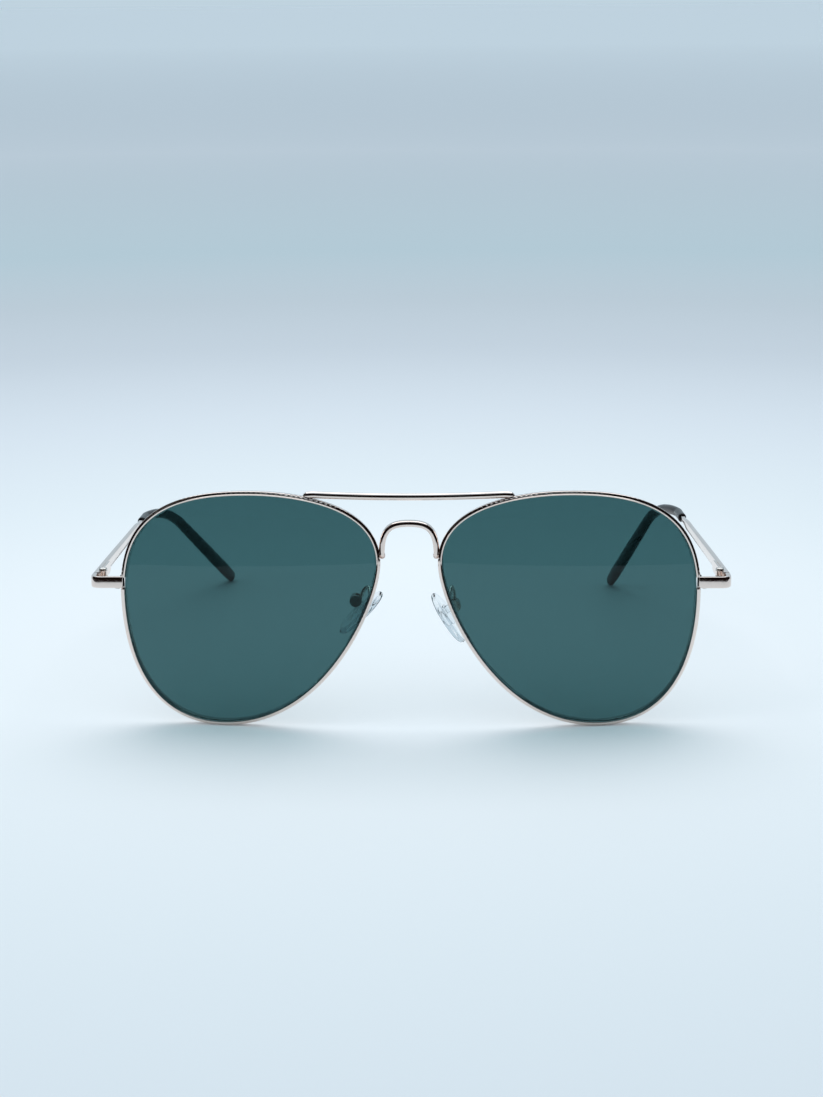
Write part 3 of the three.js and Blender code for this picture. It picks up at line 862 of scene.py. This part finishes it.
def temple_path(side):
    """Straight back, bent down and in over the ear, then straight to the end of the tip."""
    sizes = SIDES[side]
    tip_down = (HINGE.z - sizes["tip_back"] * math.sin(sizes["drop"])) / math.cos(sizes["drop"])
    tip_down -= TIP_REST
    start = np.array([ARM_OUT, BUTT_GAP, 0])
    bend_start = np.array([ARM_OUT, BEND_START, 0])
    bend = np.array([ARM_OUT - BEND_IN, BEND_MIDDLE, 0])
    end = np.array([-sizes["tip_in"], sizes["tip_back"], -tip_down])
    bend_end = bend + (end - bend) * BEND_SHARE
    over_the_ear = bezier([bend_start, bend, bend_end], 120)
    return Path(chain(straight(start, bend_start), over_the_ear, straight(bend_end, end)))


def arm_section():
    """A rounded rectangle with a low ridge along its outer face, which parts it into two facets."""
    upper = [(0.45, 1.0), (0.7, 0.98), (0.86, 0.9), (0.93, 0.74), (1.0, 0.22)]
    lower = [(1.0, 0.1), (0.98, -0.2), (0.93, -0.74), (0.86, -0.9), (0.7, -0.98), (0.45, -1.0)]
    inner_low = [(-0.45, -1.0), (-0.75, -0.97), (-0.92, -0.86), (-1.0, -0.7)]
    inner_high = [(a, -b) for a, b in reversed(inner_low)]
    return upper + lower + inner_low + inner_high


def arm_shape(side):
    """The metal of a temple: a bar that thins towards the tip, and a slimmer tail inside the tip."""
    path = temple_path(side)
    end = path.length - CORE_SHORT

    def half(distance):
        strip = smoothstep(distance, 14, TIP_START - 10)
        tail = smoothstep(distance, TIP_START - 10, TIP_START - 2)
        thickness = ARM_THICKNESS / 2 - 0.06 * strip - 0.08 * tail
        return thickness, ARM_HEIGHT / 2 - 0.04 - 0.16 * strip - 0.4 * tail

    stops = list(np.linspace(0, 24, 30)) + list(np.linspace(25, end, 110))
    return bar(path, arm_section(), half, (0, 0, 1), stops)


def tip_shape(side):
    """The moulded sleeve: a small rounded collar in front, a swell, and a rounded end."""
    path = temple_path(side)
    length = path.length - TIP_START
    cap_length, collar = 1.9, 0.35

    def half(distance):
        along = distance - TIP_START
        swell = smoothstep(along, 0, 0.9 * length)
        past = max(0.0, 1 - (length - along) / cap_length)
        cap = max(0.03, math.sqrt(max(0.0, 1 - past * past)))  # a quarter circle over the rounded end
        front = 0.86 + 0.14 * math.sqrt(min(1.0, along / collar))
        taper = 1 - 0.12 * smoothstep(along, length - 7, length)
        return [(a + (b - a) * swell) / 2 * cap * front * taper for a, b in (TIP_WIDTH, TIP_HEIGHT)]

    cap_stops = [path.length - cap_length * math.cos(math.pi / 2 * i / 10) for i in range(1, 11)]
    cap_stops[-1] = path.length - 0.001
    stops = [TIP_START + collar * (i / 4) ** 2 for i in range(5)]
    stops += list(np.linspace(TIP_START + 0.8, path.length - cap_length, 110)) + cap_stops
    return bar(path, oval(32, 0.92), half, (0, 0, 1), stops)


# ---------------------------------------------------------------- nose pads

PAD_BOX_HALF = 1.2  # of the pad mount, along the pad screw


def pad_box_shape():
    """The forked mount for a pad, a short round cup about Y with its slot open to the nose."""
    radius, slot_half, slot_end = 1.4, 0.65, 1.0
    disc = circle(radius, 48)
    cheek_front = loft([[(x, y, z) for x, z in disc] for y in (-PAD_BOX_HALF, -slot_half)])
    cheek_back = loft([[(x, y, z) for x, z in disc] for y in (slot_half, PAD_BOX_HALF)])
    rim = sorted(((x, z) for x, z in disc if x > slot_end), key=lambda point: point[1])
    web = [(slot_end, rim[0][1])] + rim + [(slot_end, rim[-1][1])]
    spine = loft([[(x, y, z) for x, z in web] for y in (-slot_half - 0.01, slot_half + 0.01)])
    return joined(cheek_front, cheek_back, spine)


def pad_core_shape():
    """The stiff clear plate moulded into a pad, with the tab that stands in the mount's slot."""
    half_thickness, half_width, half_length, plate_drop = 0.2, 1.5, 2.4, 1.2
    outline = [(half_width * a, half_length * b - plate_drop) for a, b in oval(32, 0.5)]
    faces = (-PAD_BACK - half_thickness, -PAD_BACK + half_thickness)
    plate = loft([[(x, y, z) for y, z in outline] for x in faces])
    tab = box_shape((-PAD_BACK, -0.5, -0.8), (-0.3, 0.5, 0.8))
    eye = loft([[(x, y, z) for x, z in circle(0.8, 32)] for y in (-0.5, 0.5)])
    return joined(plate, tab, eye)


def pad_shape(side, rings=40, around=56):
    """The soft oval pad that bears on the nose: a flat-faced bean, narrower at its upper end."""
    made = []
    for i in range(rings + 1):
        lift = math.pi * i / rings - math.pi / 2
        y, reach = math.sin(lift), max(0.004, math.cos(lift))
        ring = []
        for j in range(around):
            turn = 2 * math.pi * j / around
            x, z = reach * math.cos(turn), reach * math.sin(turn)
            taper = 1 - 0.14 * y
            thick = math.copysign(abs(x) ** 0.75, x) * PAD_THICKNESS / 2
            wide = math.copysign(abs(z) ** 0.85, z) * PAD_WIDTH / 2 * taper
            ring.append((thick, wide, y * PAD_LENGTH / 2))
        made.append(ring)
    middle = Matrix.Translation((-PAD_BACK, 0, -SIDES[side]["pad"]["down"]))
    splayed = middle @ Matrix.Rotation(-PAD_SPLAY, 4, "Z")
    vertices, faces = loft(made)
    return [tuple(splayed @ Vector(vertex)) for vertex in vertices], faces


def pad_arm_shape(side):
    """The bent wire from the back of the rim up, over and down to the pad mount."""
    pad = SIDES[side]["pad"]
    end_x, end_z = pad["x"] + pad["wire_end"][0], pad["z"] + pad["wire_end"][1]
    knots = [
        (9.15, 3.25, 29.3),
        (9.05, 4.8, 30.2),
        (9.1, 6.4, 31.3),
        (9.5, 7.7, 31.9),
        ((9.9 + end_x) / 2, 8.6, end_z + 1.6),
        (end_x, 8.95, end_z),
    ]
    path = Path(through(knots))
    radius = 0.42
    return bar(path, oval(16), lambda distance: (radius, radius), (1, 0, 0), np.linspace(0, path.length, 60))


def blend(start, end, s, low, high):
    """The straight blend that is start at s = low and end at s = high."""
    return (high - s) / (high - low) * start + (s - low) / (high - low) * end


def through(knots, steps=24):
    """A smooth curve through knots, by the centripetal Catmull-Rom rule."""
    knots = np.array(knots, float)
    knots = np.vstack([2 * knots[0] - knots[1], knots, 2 * knots[-1] - knots[-2]])
    stretches = []
    for k in range(1, len(knots) - 2):
        p = knots[k - 1 : k + 3]
        t = np.concatenate([[0], np.cumsum(np.linalg.norm(np.diff(p, axis=0), axis=1) ** 0.5)])
        s = np.linspace(t[1], t[2], steps)[:, None]
        a = [blend(p[i], p[i + 1], s, t[i], t[i + 1]) for i in range(3)]
        b = [blend(a[i], a[i + 1], s, t[i], t[i + 2]) for i in range(2)]
        stretches.append(blend(b[0], b[1], s, t[1], t[2]))
    return chain(*stretches)


# ---------------------------------------------------------------- solder


def solder_bead(centre, halves, direction, wobble=0.06, rings=14, around=20):
    """A small bead of solder: an oval lump along direction, a little uneven."""
    along = Vector(direction).normalized()
    turn = along.to_track_quat("Z", "Y").to_matrix()
    made = []
    for i in range(rings + 1):
        lift = math.pi * i / rings - math.pi / 2
        ring = []
        for j in range(around):
            spin = 2 * math.pi * j / around
            uneven = 1 + wobble * math.sin(3 * spin + 2 * lift) * math.cos(lift)
            reach = max(0.01, math.cos(lift)) * uneven
            share = (reach * math.cos(spin), reach * math.sin(spin), math.sin(lift))
            local = Vector([half * part for half, part in zip(halves, share)])
            ring.append(tuple(Vector(centre) + turn @ local))
        made.append(ring)
    return loft(made)


# ---------------------------------------------------------------- the pieces of one side


def build_rim(side):
    """A rim, and the lens in its groove."""
    place = front_frame(side)
    standing_for(f"{side}_rim_wire", rim_shape(), place, ROSE_GOLD, f"{side}_rim", sharp=48)
    standing_for(f"{side}_tinted_lens", lens_shape(), place, LENS, f"{side}_lens", sharp=30)


def build_rim_lock(side):
    """The two halves of the block that closes a rim, an almost black sheet of painted shade in front of it,
    and its screw.
    """
    place = front_frame(side)
    cut_middle, cut_half = LENS_Z + SPLIT_HEIGHT, SPLIT_GAP / 2 - LOCK_PARTING
    cut_low, cut_high = cut_middle - cut_half, cut_middle + cut_half
    upper, lower = LOCK_Z + LOCK_PARTING, LOCK_Z - LOCK_PARTING - LOCK_HEIGHT
    for level, lock in (
        ("upper", rim_lock_shape(upper, upper, cut_high)),
        ("lower", rim_lock_shape(lower, cut_low, LOCK_Z - LOCK_PARTING)),
    ):
        name, node = f"{side}_{level}_lock_block", f"{side}_rim_lock_{level}"
        standing_for(name, lock, place, ROSE_GOLD, node, bevel=0.08)
    # a thin sheet of painted shade in front of the lock, standing for the shadow in the recess
    recess = box_shape(
        (TONGUE_IN - 0.08, LOCK_FRONT - 0.07, cut_low - 0.05),
        (LUG_IN + 0.1, LOCK_FRONT - 0.01, cut_high + 0.05),
    )
    piece(f"{side}_lock_recess_painted_shade", recess, place, RECESS_SHADE, f"{side}_rim")
    under_lock = Matrix.Translation((LOCK_X, LOCK_Y, lower - SEAT_GAP))
    screw = place @ under_lock @ Matrix.Rotation(math.pi, 4, "X")
    slotted_screw(f"{side}_lock_screw", f"{side}_rim_lock_screw", screw, LOCK_SCREW)


def build_end_piece(side):
    """An end piece, its half of the hinge, and the hinge's screw."""
    place = hinge_frame(side)
    standing_for(f"{side}_end_block", end_piece_shape(), place, ROSE_GOLD, f"{side}_end_piece", sharp=40)
    hinge, node = front_hinge_shape(), f"{side}_front_hinge"
    standing_for(f"{side}_front_knuckles", hinge, place, ROSE_GOLD, node, bevel=0.06)
    stack_top = KNUCKLE_PITCH + KNUCKLE_HEIGHT / 2 + SEAT_GAP
    screw = place @ Matrix.Translation((0, 0, stack_top))
    slotted_screw(f"{side}_hinge_pin_screw", f"{side}_hinge_screw", screw, HINGE_SCREW)


def build_temple(side):
    """A temple with its half of the hinge and its moulded tip."""
    place = temple_frame(side)
    hinge, node = temple_hinge_shape(), f"{side}_temple_hinge"
    standing_for(f"{side}_temple_leaf", hinge, place, ROSE_GOLD, node, bevel=0.06)
    standing_for(f"{side}_temple_arm_bar", arm_shape(side), place, ROSE_GOLD, f"{side}_temple", sharp=30)
    standing_for(f"{side}_tip_sleeve", tip_shape(side), place, ACETATE, f"{side}_temple_tip", sharp=50)


def build_pad(side):
    """A nose pad on its core, the mount that it rocks in, the mount's wire, and the pad's screw."""
    front, place = front_frame(side), pad_frame(side)
    standing_for(f"{side}_pad_wire", pad_arm_shape(side), front, ROSE_GOLD, f"{side}_pad_arm")
    standing_for(f"{side}_pad_mount", pad_box_shape(), place, ROSE_GOLD, f"{side}_pad_box", bevel=0.1)
    standing_for(f"{side}_pad_insert", pad_core_shape(), place, CLEAR_CORE, f"{side}_pad_core", bevel=0.05)
    standing_for(f"{side}_silicone_pad", pad_shape(side), place, SILICONE, f"{side}_nose_pad", sharp=60)
    behind = Matrix.Translation((0, PAD_BOX_HALF + SEAT_GAP, 0))
    screw = place @ behind @ Matrix.Rotation(-math.pi / 2, 4, "X")
    slotted_screw(f"{side}_pad_mount_screw", f"{side}_pad_screw", screw, PAD_SCREW)


def solder_joints(side):
    """Beads of solder where the bridge, the brow bar and the pad wire meet a rim."""
    for name, centre, halves, direction in (
        ("bridge_foot", (6.05, 2.75, 40.75), (0.62, 0.75, 0.85), (0.1, 0, 1)),
        ("bar_end", (22.5, 2.55, 53.95), (0.5, 0.55, 0.95), (0.95, 0, 0.3)),
        ("pad_wire_root", (9.15, 3.3, 29.35), (0.6, 0.6, 0.55), (0, 1, 0.3)),
    ):
        bead = solder_bead(centre, halves, direction)
        piece(f"{side}_{name}_solder", bead, front_frame(side), SOLDER, f"{side}_rim", sharp=60)


# ---------------------------------------------------------------- the object

for each_side in SIDES:
    build_rim(each_side)
    build_rim_lock(each_side)
    build_end_piece(each_side)
    build_temple(each_side)
    build_pad(each_side)
middle_frame = front_frame("right")
standing_for("nose_bridge", bridge_shape(), middle_frame, ROSE_GOLD, "bridge", sharp=50)
standing_for("brow_bar", top_bar_shape(), middle_frame, ROSE_GOLD, "top_bar", sharp=50)
for each_side in SIDES:
    solder_joints(each_side)

# ---------------------------------------------------------------- studio


def pale_table():
    """A matt table top with painted light: a painted pool of light round the object, painted shade darker
    and bluer behind it, and pale again far off.
    """
    constants = {"Roughness": 0.75, "Specular IOR Level": 0.2}
    look, nodes, links, shader = new_material("pale table", constants)
    where = nodes.new("ShaderNodeTexCoord").outputs["Object"]
    away = nodes.new("ShaderNodeVectorMath")
    away.operation = "LENGTH"
    links.new(where, away.inputs[0])
    share = share_of(nodes, links, away.outputs["Value"], 8.0)
    # painted light by distance from the object: the first pale stops are a painted pool of light, the darker
    # bluer stops behind are painted shade
    stops = [
        (0.0, (0.91, 0.91, 0.91)),
        (0.0125, (0.89, 0.89, 0.89)),
        (0.025, (0.79, 0.81, 0.82)),
        (0.0425, (0.70, 0.72, 0.75)),
        (0.065, (0.58, 0.605, 0.64)),
        (0.088, (0.54, 0.575, 0.605)),
        (0.12, (0.53, 0.61, 0.64)),
        (0.25, (0.84, 0.84, 0.86)),
        (1.0, (0.99, 0.99, 1.0)),
    ]
    links.new(ramp(nodes, links, share, stops), shader.inputs["Base Color"])
    return look


def studio_floor():
    """A disc of table top that reaches the horizon."""
    radius = 60000
    outline = [(x, y, 0) for x, y in circle(radius, 96)]
    disc = (outline, [tuple(range(len(outline)))])
    mesh_object("table top", disc, Matrix(), pale_table())


def softbox(name, place, aim, size, power):
    """A rectangular lamp. place, aim and size are in metres, and power is in watts."""
    lamp = bpy.data.lights.new(name, "AREA")
    lamp.shape = "RECTANGLE"
    lamp.size, lamp.size_y = size
    lamp.energy = power
    made = bpy.data.objects.new(name, lamp)
    made.location = place
    made.rotation_mode = "QUATERNION"
    made.rotation_quaternion = (Vector(aim) - Vector(place)).to_track_quat("-Z", "Y")
    bpy.context.scene.collection.objects.link(made)


def reflected_only(name, shape, look):
    """A screen that only reflections show, so that the polished metal has something dark to mirror."""
    made = mesh_object(name, shape, Matrix(), look)
    made.visible_camera = False
    made.visible_diffuse = False
    made.visible_shadow = False
    made.visible_transmission = False


def dark_room():
    """The brown-black of an unlit room."""
    constants = {"Base Color": (0.012, 0.007, 0.006, 1), "Roughness": 1.0, "Specular IOR Level": 0.0}
    return new_material("dark room", constants)[0]


def dark_surround():
    """The unlit room in front of the table: a curved screen, and the room's floor up to the table."""
    radius, table_edge, above_table = 1500, 265, 1
    top, half_angle = math.radians(55), math.radians(105)
    turns = np.linspace(-half_angle, half_angle, 48)

    def arc(reach, height):
        return [(reach * math.sin(turn), -reach * math.cos(turn), height + above_table) for turn in turns]

    lifts = np.linspace(0, top, 12)
    screen = [arc(radius * math.cos(lift), radius * math.sin(lift)) for lift in lifts]
    ground = [arc(reach, 0) for reach in (table_edge, radius)]
    look = dark_room()
    reflected_only("dark room", sheet_through(screen), look)
    reflected_only("dark room floor", sheet_through(ground), look)


def sky():
    """Soft fill from every side."""
    world = bpy.data.worlds.new("studio")
    bpy.context.scene.world = world
    world.use_nodes = True
    background = world.node_tree.nodes["Background"]
    background.inputs["Color"].default_value = (0.527, 0.651, 0.737, 1)
    background.inputs["Strength"].default_value = 1.0


def camera():
    """A short telephoto view from just above and in front."""
    place = Vector((14.6, -568.6, 161.4))
    yaw, pitch, roll = (math.radians(angle) for angle in (-1.61, 13.39, -0.40))
    focal_share = 2.1039  # the focal length as a share of the picture's height
    sensor_height = 36
    right = Vector((math.cos(yaw), -math.sin(yaw), 0))
    ahead = Vector((math.sin(yaw) * math.cos(pitch), math.cos(yaw) * math.cos(pitch), -math.sin(pitch)))
    up = right.cross(ahead)
    rolled_right = right * math.cos(roll) + up * math.sin(roll)
    rolled_up = up * math.cos(roll) - right * math.sin(roll)
    lens = bpy.data.cameras.new("camera")
    lens.sensor_fit = "VERTICAL"
    lens.sensor_height = sensor_height
    lens.lens = sensor_height * focal_share
    made = bpy.data.objects.new("camera", lens)
    turned = Matrix((rolled_right, rolled_up, -ahead)).transposed().to_4x4()
    made.matrix_world = Matrix.Translation(place * MM) @ turned
    bpy.context.scene.collection.objects.link(made)
    bpy.context.scene.camera = made


studio_floor()
dark_surround()
sky()
softbox("overhead softbox", (0, 0.45, 1.25), (0, 0, 0), (1.5, 1.0), 8.5)
softbox("left softbox", (-1.1, -0.5, 0.9), (0, 0, 0.02), (0.8, 0.8), 2.5)
camera()
bpy.context.scene.view_settings.view_transform = "Standard"
